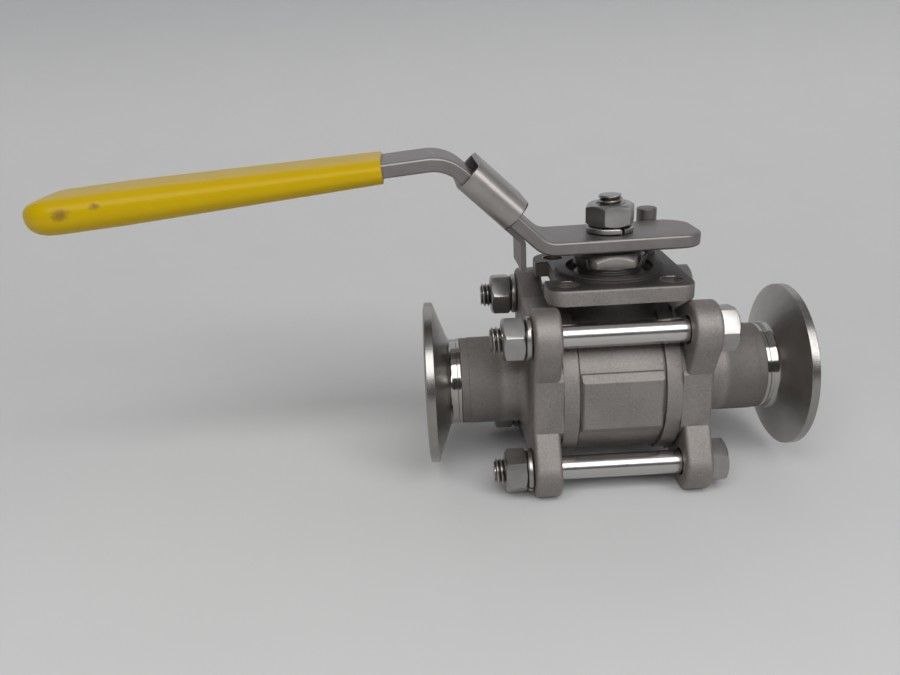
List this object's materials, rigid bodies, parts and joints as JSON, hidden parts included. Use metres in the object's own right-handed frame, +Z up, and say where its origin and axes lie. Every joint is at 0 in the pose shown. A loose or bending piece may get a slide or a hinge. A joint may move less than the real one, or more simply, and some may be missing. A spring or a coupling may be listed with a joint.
{
  "type": "sanitary ball valve",
  "caption": "Three piece stainless ball valve with clamp ferrules, a square actuator pad, a bent flat lever with a yellow grip, and a sliding lock sleeve.",
  "frame": {"origin": "centre of the ball, on the axis of the flow passage", "axes": "+X along the flow passage, +Z up the stem, -Y towards the front; the lever lies along -X in the open rest pose"},
  "size_m": [0.2232, 0.0592, 0.1015],
  "materials": {
    "cast_steel": "blasted stainless casting, satin",
    "machined_steel": "turned and polished stainless",
    "bright_fastener": "bright cold formed stainless",
    "polished_steel": "mirror polished",
    "lever_steel": "tumbled stainless strip",
    "grip_vinyl": "dipped vinyl, glossy",
    "seat_white": "satin"
  },
  "bodies": {
    "valve": {"centre_body": "cast_steel", "end_cap_left": "cast_steel", "ferrule_left": "machined_steel", "seat_left": "seat_white", "body_seal_left": "seat_white", "end_cap_right": "cast_steel", "ferrule_right": "machined_steel", "seat_right": "seat_white", "body_seal_right": "seat_white", "thrust_washer": "seat_white", "packing_lower": "seat_white", "packing_middle": "seat_white", "packing_upper": "seat_white", "gland_ring": "machined_steel", "stop_pin": "lever_steel", "bolt_front_top": "bright_fastener", "bolt_washer_front_top": "bright_fastener", "bolt_nut_front_top": "bright_fastener", "bolt_front_bottom": "bright_fastener", "bolt_washer_front_bottom": "bright_fastener", "bolt_nut_front_bottom": "bright_fastener", "bolt_rear_top": "bright_fastener", "bolt_washer_rear_top": "bright_fastener", "bolt_nut_rear_top": "bright_fastener", "bolt_rear_bottom": "bright_fastener", "bolt_washer_rear_bottom": "bright_fastener", "bolt_nut_rear_bottom": "bright_fastener"},
    "handle": {"stem": "bright_fastener", "ball": "polished_steel", "gland_nut": "bright_fastener", "tab_washer": "bright_fastener", "disc_spring_lower": "bright_fastener", "disc_spring_upper": "bright_fastener", "lever": "lever_steel", "grip": "grip_vinyl", "handle_washer": "bright_fastener", "handle_nut": "bright_fastener"},
    "sleeve": {"lock_sleeve": "lever_steel"}
  },
  "joints": [
    {"name": "handle_turn", "type": "hinge", "parent": "valve", "child": "handle", "pos_m": [0, 0, 0], "axis": [0, 0, 1], "range_deg": [-90, 0]},
    {"name": "lock_slide", "type": "slide", "parent": "handle", "child": "sleeve", "axis": [0.7188, 0.0276, -0.6947], "range_m": [0, 0.0085]}
  ]
}
